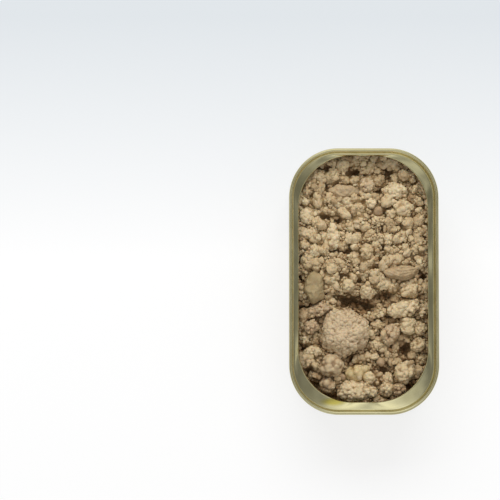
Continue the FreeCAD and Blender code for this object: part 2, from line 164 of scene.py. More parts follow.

# %% [markdown]
# ## A yellow patch on the ledge, and the torn edge
# Near one corner of the ledge the lacquer turns yellow in a patch. It needs no shape of its own: a
# soft ellipse in the plane of the sheet turns the lacquer's colour yellow. Where the lid was torn out
# the lacquer is gone, so the thin edge shows bare, paler metal with a fine dull grain.

# %% A yellow patch on the ledge
YELLOW_PATCH_PLACE = (-12 * MM, -47.6 * MM)
YELLOW_PATCH_REACH = (5.0 * MM, 1.5 * MM)
yellow_patch_from = add(end_tree, "ShaderNodeMapping",
               {"Location": (-YELLOW_PATCH_PLACE[0] / YELLOW_PATCH_REACH[0], -YELLOW_PATCH_PLACE[1] / YELLOW_PATCH_REACH[1], 0),
                "Scale": (1 / YELLOW_PATCH_REACH[0], 1 / YELLOW_PATCH_REACH[1], 0)},
               {"Vector": add(end_tree, "ShaderNodeTexCoord").outputs["Object"]})
yellow_patch_away = add(end_tree, "ShaderNodeVectorMath", {"operation": "LENGTH"},
               {0: yellow_patch_from.outputs["Vector"]})
# The lacquer turns yellow inside a soft ellipse near one corner.
yellow_patch_mask = add(end_tree, "ShaderNodeMapRange",
               {"From Min": 1.2, "From Max": 0.5, "To Min": 0.0, "To Max": 0.85},
               {"Value": yellow_patch_away.outputs["Value"]})
yellow_patch_mix = add(end_tree, "ShaderNodeMix", {"data_type": "RGBA", 7: srgb("CDBE52")},
              {0: yellow_patch_mask.outputs["Result"], 6: end_colour.outputs["Color"]})
end_tree.links.new(yellow_patch_mix.outputs[2], end_shader.inputs["Base Color"])
print("oil in mm:", [round(c / MM, 1) for c in YELLOW_PATCH_PLACE])

# %% Bare torn metal
bare_metal, bare_tree, bare_shader = new_material("bare_torn_aluminium")
bare_shader.inputs["Base Color"].default_value = srgb("C9C6B8")
bare_shader.inputs["Metallic"].default_value = 1.0
bare_grain = add(bare_tree, "ShaderNodeTexNoise", {"Scale": 1 / (0.15 * MM), "Detail": 2.0},
                 {"Vector": add(bare_tree, "ShaderNodeTexCoord").outputs["Object"]})
bare_dull = add(bare_tree, "ShaderNodeMapRange", {"To Min": 0.3, "To Max": 0.5},
                {"Value": bare_grain.outputs["Fac"]})
bare_tree.links.new(bare_dull.outputs["Result"], bare_shader.inputs["Roughness"])
print("torn edge:", bare_metal.name)

# %% [markdown]
# ## Handing a piece over
# Every piece ends the same way: its mesh becomes an object at the origin, gets its materials, rides
# on the can's one body and hides the plain solids it stands for.

# %% Piece helper
def piece(name, bm, materials, stands_for=()):
    mesh = bpy.data.meshes.new(name)
    for face in bm.faces:
        face.smooth = True
    bm.to_mesh(mesh)
    bm.free()
    for material in materials:
        mesh.materials.append(material)
    made = bpy.data.objects.new(name, mesh)
    bpy.context.scene.collection.objects.link(made)
    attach(made, "root")
    if stands_for:
        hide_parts(*stands_for)
    print(name, "faces:", len(mesh.polygons))
    return made


# %% [markdown]
# ## The drawn cup
# The cup is drawn from one disc of sheet, so it has no seam of its own. Its solid already has the
# round bottom edge, the recessed base and the flange that is folded into the seam. Its shape is
# right, so it stays and only gets the gold lacquer.

# %% The cup keeps its solid
nodes["can_body"].data.materials.clear()
nodes["can_body"].data.materials.append(gold_cup)
print("cup:", len(nodes["can_body"].data.polygons), "faces")

# %% [markdown]
# ## The seam and the torn ledge
# The lid's rim is one bent sheet: it hooks under the cup's flange, runs up the outside, over the top,
# down the chuck wall and in along a dished ledge, which stops where the lid was torn out. It could
# be a solid with holes cut in it, but a sheet is easier to keep even: draw its middle line once,
# round the corners, sweep it round the can, draw its inner edge in to the torn line and then give it
# thickness. The torn ledge is never quite flat, so it gets a slow warp, and its edge a slight
# raggedness.

# %% Sizes of the rim
end_low, end_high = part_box("end_ring")
half_width, half_length = end_high.x, end_high.y
rim_top = end_high.z

CORNER_RADIUS = 19.5 * MM     # outside of the seam, in plan
END_SHEET = 0.25 * MM
SEAM_HEIGHT = 2.9 * MM
SEAM_BEND = 0.24 * MM
LAYER_STEP = 0.285 * MM       # from the middle of one folded layer to the next
HOOK_END_GAP = 0.08 * MM      # from the end of the hook to the bend over it
CHUCK_DEPTH = 4.0 * MM
CHUCK_TAPER = 0.35 * MM
CHUCK_BEND = 2.0 * MM
LEDGE_BEND = 0.75 * MM
LEDGE_SLOPE = math.radians(12)
LEDGE_START = 0.58 * MM       # ledge that is swept with the rim, before it is drawn in
TORN_SIDE = 3.85 * MM         # outside of the seam to the torn edge, at the long sides
TORN_END = 3.6 * MM           # the same at the short ends, before the shift
TORN_SHIFT = 1.1 * MM         # the opening lies nearer to the +Y end
TORN_END_FLAT = 9.3 * MM      # straight part of the torn edge at each short end

seam_top = rim_top - END_SHEET / 2
seam_low = rim_top - SEAM_HEIGHT + END_SHEET / 2
outer_wall = END_SHEET / 2
cover_hook = outer_wall + 2 * LAYER_STEP
chuck_wall = outer_wall + 4 * LAYER_STEP
ledge_in = chuck_wall + CHUCK_TAPER
ledge_height = rim_top - CHUCK_DEPTH
top_bend = SEAM_BEND + LAYER_STEP

# Each corner of the middle line: distance in from the seam's outside, height and bend radius.
rim_line = [
    (cover_hook, seam_top - LAYER_STEP - SEAM_BEND - HOOK_END_GAP, 0),
    (cover_hook, seam_low, SEAM_BEND),
    (outer_wall, seam_low, SEAM_BEND),
    (outer_wall, seam_top, top_bend),
    (chuck_wall, seam_top, top_bend),
    (chuck_wall, rim_top - SEAM_HEIGHT, CHUCK_BEND),
    (ledge_in, ledge_height, LEDGE_BEND),
    (ledge_in + LEDGE_START, ledge_height - LEDGE_START * math.tan(LEDGE_SLOPE), 0),
]
print("half sizes of the rim in mm:", round(half_width / MM, 2), round(half_length / MM, 2))

# %% Sweep helper
CORNER_STEPS = 24
RUN_STEPS = (14, 46)          # along a short end, along a long side
CORNER_SIDES = ((1, 1), (-1, 1), (-1, -1), (1, -1))


def corner_centre(quarter):
    side_x, side_y = CORNER_SIDES[quarter % 4]
    return Vector((side_x * (half_width - CORNER_RADIUS), side_y * (half_length - CORNER_RADIUS), 0))


def sweep_round(bm, geom):
    """Takes geometry that lies on the +X side all round: a quarter turn, then a straight run."""
    for quarter in range(4):
        centre, following = corner_centre(quarter), corner_centre(quarter + 1)
        turned = bmesh.ops.spin(bm, geom=geom, cent=centre, axis=UP, angle=math.pi / 2,
                                steps=CORNER_STEPS, use_duplicate=False)
        steps = RUN_STEPS[quarter % 2]
        run = bmesh.ops.spin(bm, geom=turned["geom_last"], cent=centre, axis=UP, angle=0,
                             dvec=(following - centre) / steps, steps=steps)
        geom = run["geom_last"]


print("corner centre in mm:", [round(c / MM, 1) for c in corner_centre(0)])

# %% Draw the rim's middle line and sweep it
BEND_SEGMENTS = 6
ring = bmesh.new()
start_y = half_length - CORNER_RADIUS
corners = [ring.verts.new((half_width - inwards, start_y, height)) for inwards, height, _ in rim_line]
for before, after in zip(corners, corners[1:]):
    ring.edges.new((before, after))
for index in range(len(rim_line) - 2, 0, -1):
    corner, bend = corners[index], rim_line[index][2]
    arriving, leaving = [edge.other_vert(corner).co - corner.co for edge in corner.link_edges]
    turn = math.pi - arriving.angle(leaving)
    bmesh.ops.bevel(ring, geom=[corner], offset=bend * math.tan(turn / 2), segments=BEND_SEGMENTS,
                    profile=0.5, affect="VERTICES", material=-1)
sweep_round(ring, ring.verts[:] + ring.edges[:])
bmesh.ops.remove_doubles(ring, verts=ring.verts, dist=0.002 * MM)
print("rim before the ledge:", len(ring.faces), "faces")

# %% Draw the ledge in to the torn line
torn_across = half_width - TORN_SIDE
torn_along = half_length - TORN_END
torn_radius = torn_across - TORN_END_FLAT / 2


def on_torn_line(point):
    """Where the torn line answers a point of the rim: the same share of the same run or corner."""
    across, along = abs(point.x), abs(point.y)
    run_x, run_y = half_width - CORNER_RADIUS, half_length - CORNER_RADIUS
    torn_x, torn_y = torn_across - torn_radius, torn_along - torn_radius
    angle = math.atan2(max(along - run_y, 0), max(across - run_x, 0))
    x = torn_x * min(across / run_x, 1) + torn_radius * math.cos(angle)
    y = torn_y * min(along / run_y, 1) + torn_radius * math.sin(angle)
    return math.copysign(x, point.x), math.copysign(y, point.y) + TORN_SHIFT


inner_height = rim_line[-1][1]
rim_edge = [edge for edge in ring.edges if edge.is_boundary
            and max(abs(vert.co.z - inner_height) for vert in edge.verts) < 0.01 * MM]
drawn = bmesh.ops.extrude_edge_only(ring, edges=rim_edge)
torn_verts = [item for item in drawn["geom"] if isinstance(item, bmesh.types.BMVert)]
for vert in torn_verts:
    x, y = on_torn_line(vert.co)
    reach = math.hypot(vert.co.x - x, vert.co.y - y)
    vert.co = (x, y, inner_height - reach * math.tan(LEDGE_SLOPE))
torn_set = set(torn_verts)
across_edges = [edge for vert in torn_verts for edge in vert.link_edges
                if edge.other_vert(vert) not in torn_set]
bmesh.ops.subdivide_edges(ring, edges=across_edges, cuts=5, use_grid_fill=True)
print("torn line:", len(torn_verts), "points, rim with its ledge:", len(ring.faces), "faces")

# %% Warp the ledge and roughen the torn edge
WARP = 0.16 * MM              # height of the ledge's slow warp
RAG = 0.07 * MM               # how far the torn edge wanders
WARP_RUN = 1.6 * MM           # the warp grows over this run, so that the bend stays even
ledge_plan = ledge_in + 0.4 * MM


def inside_plan(x, y, across, along, radius, shift=0.0):
    """How far a point lies inside a rectangle with round corners. Outside it is negative."""
    far_x = np.abs(x) - (across - radius)
    far_y = np.abs(y - shift) - (along - radius)
    outside = np.hypot(np.maximum(far_x, 0), np.maximum(far_y, 0))
    return radius - outside - np.minimum(np.maximum(far_x, far_y), 0)


for vert in ring.verts:
    depth_in = inside_plan(vert.co.x, vert.co.y, half_width, half_length, CORNER_RADIUS)
    if depth_in > ledge_plan and vert.co.z < ledge_height + 0.2 * MM:
        ease = min((depth_in - ledge_plan) / WARP_RUN, 1.0)
        slow = (noise.noise(vert.co / (11 * MM))
                + 0.5 * noise.noise(vert.co / (4 * MM) + Vector((7, 3, 1))))
        vert.co.z += WARP * ease * slow
        if vert.is_boundary:
            rag = (noise.noise_vector(vert.co / (1.1 * MM)) * RAG
                   + noise.noise_vector(vert.co / (3.7 * MM)) * RAG)
            vert.co += Vector((rag.x, rag.y, rag.z * 0.8))
bmesh.ops.recalc_face_normals(ring, faces=ring.faces)
end_piece = piece("torn_end", ring, [gold_end, bare_metal], ["end_ring"])
thick = end_piece.modifiers.new("sheet", "SOLIDIFY")
thick.thickness = END_SHEET * 0.98     # a hair thinner than the solid, so it stays inside it
thick.offset = 0.0
thick.use_even_offset = True
thick.material_offset_rim = 1

# %% [markdown]
# ## The flesh of the fish
# Cooked and crumbled fish is dull inside and a little moist outside. It isn't one colour: each crumb
# has its own shade, from straw to grey-brown. On top of that the material darkens the flesh the lower
# it lies in the can: partly browner, wetter flesh, and partly painted shade in the hollows. Each crumb
# therefore carries a tone of its own, and the material mixes it with slow mottling and with that
# painted darkening by height. Light enters the flesh a little, which softens small crumbs.

# %% Cooked fish, in several kinds
DAMP_AND_SHADE_HEIGHT = (14.0 * MM, 19.5 * MM)    # heights between which the flesh goes from darkest to its own colour: wetter flesh and painted shade
DAMP_AND_SHADE = -0.45                      # how much darker low flesh is, on the scale of the tones: partly wetness, partly painted shade
MOTTLE = 0.55                          # share of the scale that the mottling covers
DRIFT = 0.5                            # the same for the slow change from place to place


def cooked_fish(name, dark, middle, pale, fibre=0.0):
    """dark, middle and pale are the shades. fibre is the spacing of muscle fibres in millimetres."""
    material, tree, shader = new_material(name)
    place = add(tree, "ShaderNodeTexCoord")
    own = add(tree, "ShaderNodeAttribute", {"attribute_name": "tone"})
    mottle = add(tree, "ShaderNodeTexNoise",
                 {"Scale": 1 / (2.2 * MM), "Detail": 3.0, "Roughness": 0.55},
                 {"Vector": place.outputs["Object"]})
    drift = add(tree, "ShaderNodeTexNoise", {"Scale": 1 / (14 * MM), "Detail": 2.0},
                {"Vector": place.outputs["Object"]})
    height = add(tree, "ShaderNodeSeparateXYZ", {}, {"Vector": place.outputs["Object"]})
    # Painted shade: below these heights the flesh darkens, standing for the shade in the hollows as
    # well as for wetter flesh.
    damp_and_shade = add(tree, "ShaderNodeMapRange", {"From Min": DAMP_AND_SHADE_HEIGHT[0], "From Max": DAMP_AND_SHADE_HEIGHT[1],
                                           "To Min": DAMP_AND_SHADE, "To Max": 0.0},
              {"Value": height.outputs["Z"]})

    def around_zero(source, share):
        return add(tree, "ShaderNodeMath", {"operation": "MULTIPLY_ADD", 1: share, 2: -share / 2},
                   {0: source}).outputs[0]

    def total(first, second):
        return add(tree, "ShaderNodeMath", {"operation": "ADD"}, {0: first, 1: second}).outputs[0]

    shade = total(around_zero(mottle.outputs["Fac"], MOTTLE), own.outputs["Fac"])
    shade = total(shade, around_zero(drift.outputs["Fac"], DRIFT))
    shade = total(shade, damp_and_shade.outputs["Result"])
    colour = ramp(add(tree, "ShaderNodeValToRGB", {}, {"Fac": shade}),
                  [(0.05, dark), (0.5, middle), (0.95, pale)])
    grain = add(tree, "ShaderNodeTexNoise", {"Scale": 1 / (1.0 * MM), "Detail": 4.0, "Roughness": 0.6},
                {"Vector": place.outputs["Object"]})
    normal = add(tree, "ShaderNodeBump", {"Strength": 0.8, "Distance": 0.4 * MM},
                 {"Height": grain.outputs["Fac"]}).outputs["Normal"]
    if fibre:
        lines = add(tree, "ShaderNodeTexWave", {"Scale": 0.9 / (fibre * MM), "Distortion": 5.0,
                                                "Detail": 2.0, "Detail Scale": 0.6,
                                                "bands_direction": "Y"},
                    {"Vector": place.outputs["Object"]})
        normal = add(tree, "ShaderNodeBump", {"Strength": 0.5, "Distance": 0.12 * MM},
                     {"Height": lines.outputs["Fac"], "Normal": normal}).outputs["Normal"]
    tree.links.new(colour.outputs["Color"], shader.inputs["Base Color"])
    tree.links.new(normal, shader.inputs["Normal"])
    shader.inputs["Roughness"].default_value = 0.55
    shader.inputs["Specular IOR Level"].default_value = 0.3
    shader.inputs["Subsurface Weight"].default_value = 0.22
    shader.inputs["Subsurface Radius"].default_value = (1.0, 0.55, 0.3)
    shader.inputs["Subsurface Scale"].default_value = 1.1 * MM
    return material


crumb_flesh = cooked_fish("crumbled_cooked_fish", "8C6C48", "CFB78F", "E8D5AF")
# The packed core is darker than the loose crumbs: partly wetter packed flesh, partly painted shade for
# the gaps it shows through.
packed_flesh_with_shade = cooked_fish("packed_cooked_fish_with_shade", "967A56", "BA9F75", "D2BC94")
lump_flesh = cooked_fish("lump_of_cooked_fish", "8A6E4E", "BBA07D", "D6C09D")
smooth_flesh = cooked_fish("smooth_cooked_fish", "84684A", "B09573", "CFB994")
skin_flesh = cooked_fish("grey_green_cooked_fish", "746445", "A38E68", "C4B088")
fibrous_flesh = cooked_fish("fibrous_cooked_fish", "866A49", "B79D78", "D3BD98", fibre=0.9)
oily_flesh = cooked_fish("oily_yellow_cooked_fish", "8A7048", "C0A676", "DCC798")
print("fish materials:", len([m for m in bpy.data.materials if "fish" in m.name]))

# %% [markdown]
# ## Knobs pressed together
# Minced and cooked fish breaks into lumps that look like small cauliflowers: knobs of a millimetre or
# two, pressed together, with sharp creases between them. Noise alone gives soft waves and no crease.
# So a lump is made as the outline of many small balls: from the lump's middle, each point of an
# icosphere moves out until it leaves the outermost ball in its way.

# %% Knob helpers
def out_to_knobs(ways, least, centres, radii):
    """How far out each way leaves the outermost knob. Where it meets none it is least."""
    parts = []
    for some in np.array_split(ways, 1 + len(ways) // 2000):
        along = some @ centres.T
        inside = radii ** 2 - ((centres ** 2).sum(1) - along ** 2)
        parts.append(np.where(inside > 0, along + np.sqrt(np.maximum(inside, 0)), 0).max(axis=1))
    return np.maximum(np.concatenate(parts), least)


def random_ways(dice, count):
    ways = dice.normal(size=(count, 3))
    return ways / np.linalg.norm(ways, axis=1)[:, None]


def tree_of(*names):
    """A search tree over the meshes of one or more solids."""
    joined = bmesh.new()
    for name in names:
        joined.from_mesh(nodes[name].data)
    found = BVHTree.FromBMesh(joined)
    joined.free()
    return found


def set_tone(target, values):
    """Writes the shade of each point."""
    layer = target.data.attributes.new("tone", "FLOAT", "POINT")
    layer.data.foreach_set("value", np.asarray(values, np.float32))


one_knob = out_to_knobs(np.array([[0, 0, 1.0]]), 0.5, np.array([[0, 0, 0.7]]), np.array([0.4]))
print("out to one knob:", [round(float(v), 2) for v in one_knob])

# %% [markdown]
# ## The cup's wall presses on the food
# Knobs and clusters are made a little larger than the plain solids they stand for, so near the wall
# some would come out through the thin sheet. In the real can the wall presses them flat. So each
# point that lies outside the food's outline, a rectangle with round corners, is moved back to it.

# %% Keep food inside the cup
bed_low, bed_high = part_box("crumb_bed")
FOOD_RADIUS = CORNER_RADIUS - 1.29 * MM     # corner of the food, inside the seam and the cup's wall


def press_to_wall(bm):
    """Food that has swollen into the can's wall is pressed back, so that it lies flat on it."""
    middle = (bed_low + bed_high) / 2
    straight = ((bed_high - bed_low) / 2).to_2d() - Vector((FOOD_RADIUS, FOOD_RADIUS))
    for vert in bm.verts:
        place = (vert.co - middle).to_2d()
        inner = Vector((max(-straight.x, min(place.x, straight.x)),
                        max(-straight.y, min(place.y, straight.y))))
        out = (place - inner).length
        if out > FOOD_RADIUS:
            place = inner + (place - inner) * (FOOD_RADIUS / out)
            vert.co.x, vert.co.y = middle.x + place.x, middle.y + place.y


print("food reaches to in mm:", [round(c / MM, 1) for c in bed_high])

# %% [markdown]
# ## The lumps and flakes
# Each lump has a plain solid that says where it lies and how large it is. An icosphere is put inside
# that solid and every point moves out until it meets the solid's surface. Smoothing takes off the
# hard waist, a slow swelling makes the outline uneven, and then the knobs go on: small and sharp on
# broken flesh, large and shallow on the smooth pieces. Long flakes also get ridges along their fibres.

# %% Which lump has which surface
# Material, largest knob radius and depth of the pits in mm, rounds of softening, swelling, tone.
lump_kinds = {
    "lump_main": (lump_flesh, 1.0, 0.9, 0, 0.22, 0.62),
    "lump_arm": (lump_flesh, 0.9, 1.1, 0, 0.30, 0.52),
    "lump_left": (lump_flesh, 0.9, 1.1, 0, 0.30, 0.46),
    "lump_smooth": (skin_flesh, 0, 0.3, 1, 0.20, 0.60),
    "lump_round": (smooth_flesh, 1.5, 0.3, 5, 0.12, 0.44),
    "lump_yellow": (oily_flesh, 1.7, 0.9, 2, 0.25, 0.58),
    "lump_chunk": (smooth_flesh, 1.8, 0.7, 2, 0.20, 0.45),
    "lump_end": (crumb_flesh, 1.07, 0.9, 0, 0.25, 0.52),
    "lump_tan": (crumb_flesh, 1.07, 1.0, 1, 0.20, 0.48),
    "lump_corner_low": (lump_flesh, 1.15, 1.1, 1, 0.25, 0.40),
    "lump_corner_high": (crumb_flesh, 1.15, 1.1, 1, 0.22, 0.46),
    "lump_bank": (crumb_flesh, 1.07, 1.0, 1, 0.20, 0.36),
    "lump_mid": (lump_flesh, 1.07, 1.1, 1, 0.25, 0.58),
    "lump_ridge": (crumb_flesh, 1.15, 1.2, 1, 0.25, 0.50),
    "lump_side": (crumb_flesh, 1.07, 1.2, 1, 0.28, 0.58),
    "lump_wall": (crumb_flesh, 0.98, 0.8, 1, 0.20, 0.40),
    "lump_hang": (crumb_flesh, 0.98, 1.1, 1, 0.30, 0.58),
    "flake_fibrous": (fibrous_flesh, 0, 0.25, 1, 0.20, 0.58),
    "lump_long": (crumb_flesh, 1.48, 0.7, 2, 0.22, 0.52),
    "lump_fan": (crumb_flesh, 1.23, 0.8, 2, 0.25, 0.52),
    "lump_upper": (crumb_flesh, 1.39, 0.8, 2, 0.22, 0.50),
    "flake_oval": (smooth_flesh, 0, 0.3, 1, 0.25, 0.62),
    "lump_top": (lump_flesh, 1.07, 1.0, 1, 0.25, 0.58),
    "lump_top_right": (crumb_flesh, 0.9, 0.35, 3, 0.25, 0.48),
}
LARGEST = "lump_main"
FIBRES = {"flake_fibrous": (1.1, 0.10), "lump_smooth": (2.6, 0.08)}     # spacing and height in mm
print("lumps and flakes:", len(lump_kinds))

# %% Lump helpers
BALL_DETAIL = 6               # subdivisions of the icosphere, and one more for the largest lump
WAIST_ROUNDS = 20             # of smoothing, to take off the solid's waist
KNOB_COVER = 1.5              # how often the knobs together would cover the lump
FIBRE_BOW = 0.03 / MM         # how much the ridges bow


def smoothed(ball, rounds):
    for _ in range(rounds):
        bmesh.ops.smooth_vert(ball, verts=ball.verts, factor=0.5, use_axis_x=True, use_axis_y=True,
                              use_axis_z=True)


def out_to_solid(name, middle):
    """A ball whose points have moved out from the middle to the surface of the plain solid."""
    solid = tree_of(name)
    ball = bmesh.new()
    bmesh.ops.create_icosphere(ball, subdivisions=BALL_DETAIL + (name == LARGEST), radius=1.0)
    for vert in ball.verts:
        direction = vert.co.normalized()
        hit = solid.ray_cast(middle, direction)[0]
        vert.co = (hit if hit else middle + direction * 2 * MM)
    smoothed(ball, WAIST_ROUNDS)
    return ball


def knobs_on(ways, far, area, knob, pit, seed):
    """How far out each way goes with knobs on. knob and pit, the depth between them, are in mm."""
    dice = np.random.default_rng(seed)
    count = int(KNOB_COVER * area / (math.pi * (0.6 * knob * MM) ** 2))
    picked = dice.integers(0, len(ways), count)
    radii = dice.uniform(0.5, 1.0, count) * knob * MM
    lift = dice.uniform(0.35, 0.9, count)[:, None]
    centres = ways[picked] * (far[picked][:, None] - radii[:, None] * lift)
    return out_to_knobs(ways.astype(np.float32), (far - pit * MM).astype(np.float32),
                        centres.astype(np.float32), radii.astype(np.float32))


def add_fibres(ball, middle, long_x, spacing, ridge):
    """Raises ridges that run the long way of a flake, a little bowed and uneven."""
    for vert in ball.verts:
        run, across = (vert.co.x - middle.x, vert.co.y) if long_x else (vert.co.y - middle.y, vert.co.x)
        bow = across - FIBRE_BOW * run ** 2 + noise.noise(vert.co / (5 * MM)) * 0.8 * MM
        vert.co.z += ridge * math.sin(math.tau * bow / spacing)


print("faces of a lump:", 20 * 4 ** (BALL_DETAIL - 1))

# %% Make the lumps
def make_lump(name, seed):
    flesh, knob, pit, soften, swell, tone = lump_kinds[name]
    low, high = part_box(name)
    middle = Vector(((low.x + high.x) / 2, (low.y + high.y) / 2, low.z * 0.45 + high.z * 0.55))
    ball = out_to_solid(name, middle)
    offset = Vector((seed * 3.7, seed * 1.3, seed * 2.9))
    far = np.array([(vert.co - middle).length for vert in ball.verts])
    ways = np.array([(vert.co - middle).normalized() for vert in ball.verts])
    far *= [1 + swell * (noise.noise(Vector(way) * 1.7 + offset)
                         + 0.4 * noise.noise(Vector(way) * 4 + offset)) for way in ways]
    area = sum(face.calc_area() for face in ball.faces)
    out = knobs_on(ways, far, area, knob, pit, seed) if knob else far
    for vert, way, reach in zip(ball.verts, ways, out):
        vert.co = middle + Vector(way) * float(reach)
    smoothed(ball, soften)
    if name in FIBRES:
        spacing, ridge = FIBRES[name]
        add_fibres(ball, middle, high.x - low.x > high.y - low.y, spacing * MM, ridge * MM)
    drop = max(max(vert.co.z for vert in ball.verts) - high.z, 0)
    for vert in ball.verts:
        vert.co.z -= drop
    press_to_wall(ball)
    made = piece(name + "_flesh", ball, [flesh], [name])
    # Painted shade: the tone is lower in the pits between the knobs and higher on their tops.
    set_tone(made, tone + 0.3 * ((out - far) / (pit * MM) + 0.3))
    return made


lumps = [make_lump(name, seed) for seed, name in enumerate(lump_kinds, 1)]
print("lumps made:", len(lumps))

# %% [markdown]
# ## The imported core of the heap
# Under the loose crumbs the food is packed. A grid of small squares is laid over the cup, rays from
# above read the plain solid's height at each point, and the places under the lumps are filled from
# their surroundings. The core lies lower than the solid, because loose clusters come on top of it,
# and lowest in the hollows, which stay dark; there its tone is also lowered, as painted shade. Round
# crumbs are pressed into it as relief.

# %% Read the height of the bed
STEP = 0.25 * MM
columns = int((bed_high.x - bed_low.x) / STEP) + 1
rows = int((bed_high.y - bed_low.y) / STEP) + 1
grid_x = np.linspace(bed_low.x, bed_high.x, columns)
grid_y = np.linspace(bed_low.y, bed_high.y, rows)


def height_map(tree_found, empty):
    """The height of whatever a ray from above meets first, at each point of the grid."""
    found = np.full((columns, rows), empty)
    for i, x in enumerate(grid_x):
        for j, y in enumerate(grid_y):
            hit = tree_found.ray_cast(Vector((x, y, 2 * rim_top)), -UP)[0]
            if hit:
                found[i, j] = hit.z
    return found


def widened(mask, cells):
    """The mask grown by some cells. A negative number takes cells off."""
    if cells < 0:
        return ~widened(~mask, -cells)
    for _ in range(cells):
        grown = mask.copy()
        grown[1:] |= mask[:-1]
        grown[:-1] |= mask[1:]
        grown[:, 1:] |= mask[:, :-1]
        grown[:, :-1] |= mask[:, 1:]
        mask = grown
    return mask


def averaged(heights):
    """Each point's mean over its four neighbours."""
    padded = np.pad(heights, 1, mode="edge")
    return (padded[:-2, 1:-1] + padded[2:, 1:-1] + padded[1:-1, :-2] + padded[1:-1, 2:]) / 4


FILL_ROUNDS = 500             # until the places under the lumps answer their surroundings
SOFT_ROUNDS = 6               # until the solid's facets are gone
LEVEL_ROUNDS = 150            # until single hollows are gone, which leaves the heap's large form
bed_map = height_map(tree_of("crumb_bed"), 0.0)
cover_map = height_map(tree_of(*lump_kinds), 0.0)
hidden = widened(cover_map > 0, 3) | (bed_map < 5 * MM)
filled = bed_map.copy()
filled[hidden] = bed_map[~hidden].mean()
for _ in range(FILL_ROUNDS):
    filled[hidden] = averaged(filled)[hidden]
for _ in range(SOFT_ROUNDS):
    filled = averaged(filled)
level = filled
for _ in range(LEVEL_ROUNDS):
    level = averaged(level)
print("bed heights in mm:", [round(v / MM, 1) for v in (filled.min(), filled.mean(), filled.max())])

# %% Press crumbs into the core
CORE_LOWER = 1.2 * MM         # room for the loose clusters
CRUMB, CRUMB_RELIEF = 1.9 * MM, 0.9 * MM     # spacing and relief of single crumbs
CLUMP, CLUMP_RELIEF = 5.0 * MM, 1.2 * MM     # the same of crumbs that stick together


def packed(point, size, offset):
    """Relief of round crumbs of mixed sizes: near 1 on a large one's top, 0 in a gap."""
    apart, centres = noise.voronoi(point / size + offset)
    highest = 0.0
    for distance, centre in zip(apart, centres):
        radius = 0.75 + 0.2 * noise.cell(centre * 31)
        highest = max(highest, radius * radius - distance * distance)
    return math.sqrt(highest)


core_map = filled - CORE_LOWER + 0.3 * (filled - level)
for i, x in enumerate(grid_x):
    for j, y in enumerate(grid_y):
        here = Vector((x, y, filled[i, j]))
        here += noise.noise_vector(here / (2.2 * MM)) * 0.6 * MM
        core_map[i, j] += (CLUMP_RELIEF * (packed(here, CLUMP, Vector((1, 2, 3))) - 0.6)
                           + CRUMB_RELIEF * (packed(here, CRUMB, Vector((4, 5, 6))) - 0.6))
core_map = np.minimum(core_map, bed_high.z)
print("core heights in mm:", [round(v / MM, 1) for v in (core_map.min(), core_map.max())])

# %% Lay the grid on those heights and close it
CORE_FOOT = 3.2 * MM          # the core ends this far above the bed's underside, which nobody sees
core = bmesh.new()
bmesh.ops.create_grid(core, x_segments=columns - 1, y_segments=rows - 1, size=1.0)
centre_x, centre_y = (bed_low.x + bed_high.x) / 2, (bed_low.y + bed_high.y) / 2
reach_x, reach_y = (bed_high.x - bed_low.x) / 2, (bed_high.y - bed_low.y) / 2
hollow = core_map - level
core_tone_with_shade = core.verts.layers.float.new("tone")
for vert in core.verts:
    i = round((vert.co.x + 1) / 2 * (columns - 1))
    j = round((vert.co.y + 1) / 2 * (rows - 1))
    vert.co = (grid_x[i], grid_y[j], core_map[i, j])
    # Painted shade: the tone drops the deeper a point lies below the heap's large form, so the hollows
    # come out darker.
    vert[core_tone_with_shade] = 0.62 + 0.10 * min(max(hollow[i, j] / MM, -4.5), 1.5)
beyond = [vert for vert in core.verts if -0.1 * STEP > inside_plan(
    vert.co.x - centre_x, vert.co.y - centre_y, reach_x, reach_y, FOOD_RADIUS)]
bmesh.ops.delete(core, geom=beyond, context="VERTS")
rim = [edge for edge in core.edges if edge.is_boundary]
walls = bmesh.ops.extrude_edge_only(core, edges=rim)
lower = [item for item in walls["geom"] if isinstance(item, bmesh.types.BMVert)]
for vert in lower:
    vert.co.z = bed_low.z + CORE_FOOT
floor_edges = [edge for edge in core.edges if edge.is_boundary]
bmesh.ops.triangle_fill(core, edges=floor_edges, use_beauty=True)
bmesh.ops.recalc_face_normals(core, faces=core.faces)
piece("packed_core", core, [packed_flesh_with_shade], ["crumb_bed"])

# %% [markdown]
# ## Loose clusters and crumbs
# What makes the heap look loose is real pieces lying on each other with dark gaps between them. They
# are dropped one at a time: a piece falls until it touches what lies below, sinks in a little, and
# becomes part of the ground for the next. The large clusters keep to the places where the bed is
# high, so the hollows stay open. Few shapes are enough, because each copy is turned, sized and toned
# differently. The smaller a kind is, the fewer faces its shapes have.

# %% Cluster shapes
def cluster_shape(detail, knobs, knob_radius, seed):
    """Knobs pressed together in an uneven ball of about unit radius."""
    dice = np.random.default_rng(seed)
    ball = bmesh.new()
    bmesh.ops.create_icosphere(ball, subdivisions=detail, radius=1.0)
    ways = np.array([vert.co.normalized() for vert in ball.verts])
    radii = dice.uniform(*knob_radius, knobs)
    stretch = np.array([dice.uniform(0.8, 1.25), dice.uniform(0.75, 1.0), 1.0])
    centres = random_ways(dice, knobs) * stretch * (dice.uniform(0.8, 1.1, knobs) - radii)[:, None]
    out = out_to_knobs(ways, 0.5, centres, radii)
    for vert, way, reach in zip(ball.verts, ways, out):
        rough = 0.06 * noise.noise(Vector(way) * 6 + Vector((seed, 0, 0)))
        vert.co = Vector(way) * (float(reach) + rough)
    mesh = bpy.data.meshes.new("cluster_shape")
    ball.to_mesh(mesh)
    ball.free()
    return mesh


def cluster_shapes(detail, knobs, knob_radius, seeds):
    return [cluster_shape(detail, knobs, knob_radius, seed) for seed in seeds]


